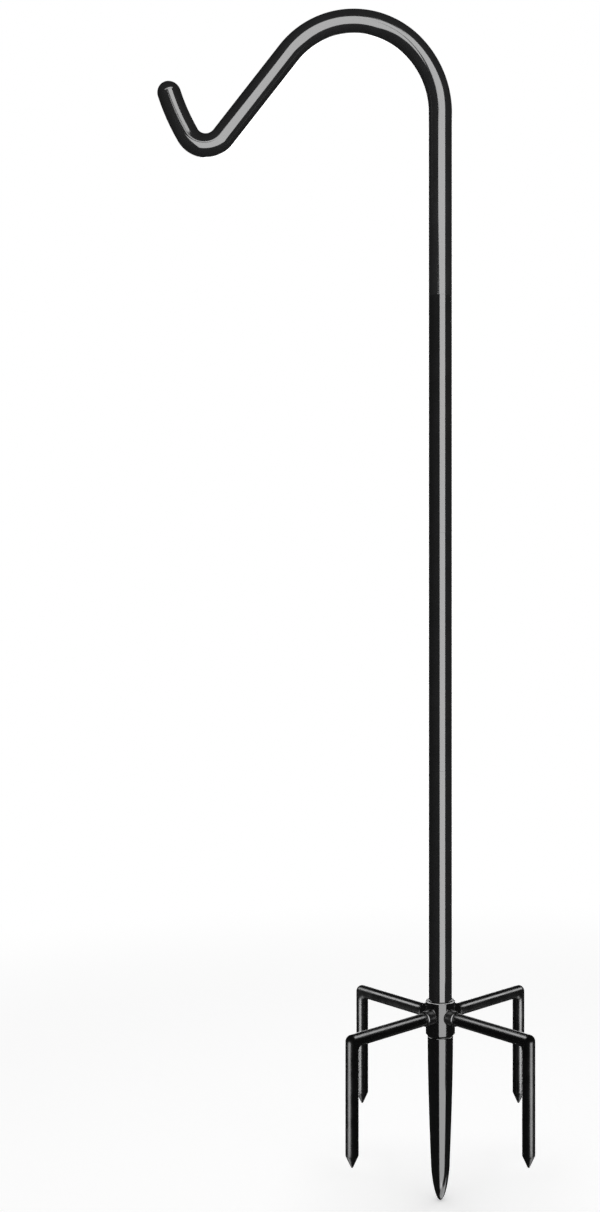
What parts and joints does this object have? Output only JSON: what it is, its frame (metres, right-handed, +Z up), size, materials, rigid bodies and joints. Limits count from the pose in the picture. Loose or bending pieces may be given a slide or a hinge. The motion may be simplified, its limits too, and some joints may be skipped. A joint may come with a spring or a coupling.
{
  "type": "hanging plant stand",
  "caption": "Shepherd's-hook stand: a sectional tube pole with a crook to hang a planter from, on a base collar with pronged feet and a ground spike.",
  "frame": {"origin": "on the pole's axis at ground level, the underside of the prong arms", "axes": "+Z up along the pole; the crook reaches towards -X in the XZ plane; the front prongs are on the -Y side"},
  "size_m": [0.4761, 0.2282, 1.5233],
  "materials": {
    "black_enamel": "smooth gloss black enamel, with a fine orange-peel texture",
    "plated_steel": "zinc-plated turned steel"
  },
  "bodies": {
    "spike": {"ground_spike": "black_enamel"},
    "collar": {"collar_sleeve": "black_enamel", "collar_core": "plated_steel", "socket_front_left": "black_enamel", "socket_front_right": "black_enamel", "socket_rear_left": "black_enamel", "socket_rear_right": "black_enamel"},
    "front_left_prong": {"prong_front_left": "black_enamel"},
    "front_right_prong": {"prong_front_right": "black_enamel"},
    "rear_left_prong": {"prong_rear_left": "black_enamel"},
    "rear_right_prong": {"prong_rear_right": "black_enamel"},
    "lower_pole": {"pole_lower_tube": "black_enamel", "pole_lower_top_insert": "plated_steel", "pole_lower_foot_insert": "plated_steel"},
    "middle_pole": {"pole_middle_tube": "black_enamel", "pole_middle_stud": "plated_steel", "pole_middle_insert": "plated_steel"},
    "upper_pole": {"pole_upper_tube": "black_enamel", "pole_upper_stud": "plated_steel", "pole_upper_insert": "plated_steel"},
    "crook": {"crook_tube": "black_enamel", "crook_tip_cap": "black_enamel", "crook_stud": "plated_steel"}
  },
  "joints": [
    {"name": "collar_turn", "type": "hinge", "parent": "spike", "child": "collar", "pos_m": [0, 0, 0.008], "axis": [0, 0, 1], "continuous": true},
    {"name": "front_left_draw", "type": "slide", "parent": "collar", "child": "front_left_prong", "axis": [-0.7071, -0.7071, 0], "range_m": [0, 0.018]},
    {"name": "front_right_draw", "type": "slide", "parent": "collar", "child": "front_right_prong", "axis": [0.7071, -0.7071, 0], "range_m": [0, 0.018]},
    {"name": "rear_left_draw", "type": "slide", "parent": "collar", "child": "rear_left_prong", "axis": [-0.7071, 0.7071, 0], "range_m": [0, 0.018]},
    {"name": "rear_right_draw", "type": "slide", "parent": "collar", "child": "rear_right_prong", "axis": [0.7071, 0.7071, 0], "range_m": [0, 0.018]},
    {"name": "lower_pole_lift", "type": "slide", "parent": "spike", "child": "lower_pole", "axis": [0, 0, 1], "range_m": [0, 0.03]},
    {"name": "middle_pole_lift", "type": "slide", "parent": "lower_pole", "child": "middle_pole", "axis": [0, 0, 1], "range_m": [0, 0.03]},
    {"name": "upper_pole_lift", "type": "slide", "parent": "middle_pole", "child": "upper_pole", "axis": [0, 0, 1], "range_m": [0, 0.03]},
    {"name": "crook_turn", "type": "hinge", "parent": "upper_pole", "child": "crook", "pos_m": [0, 0, 0.927], "axis": [0, 0, 1], "range_deg": [0, 360]}
  ]
}
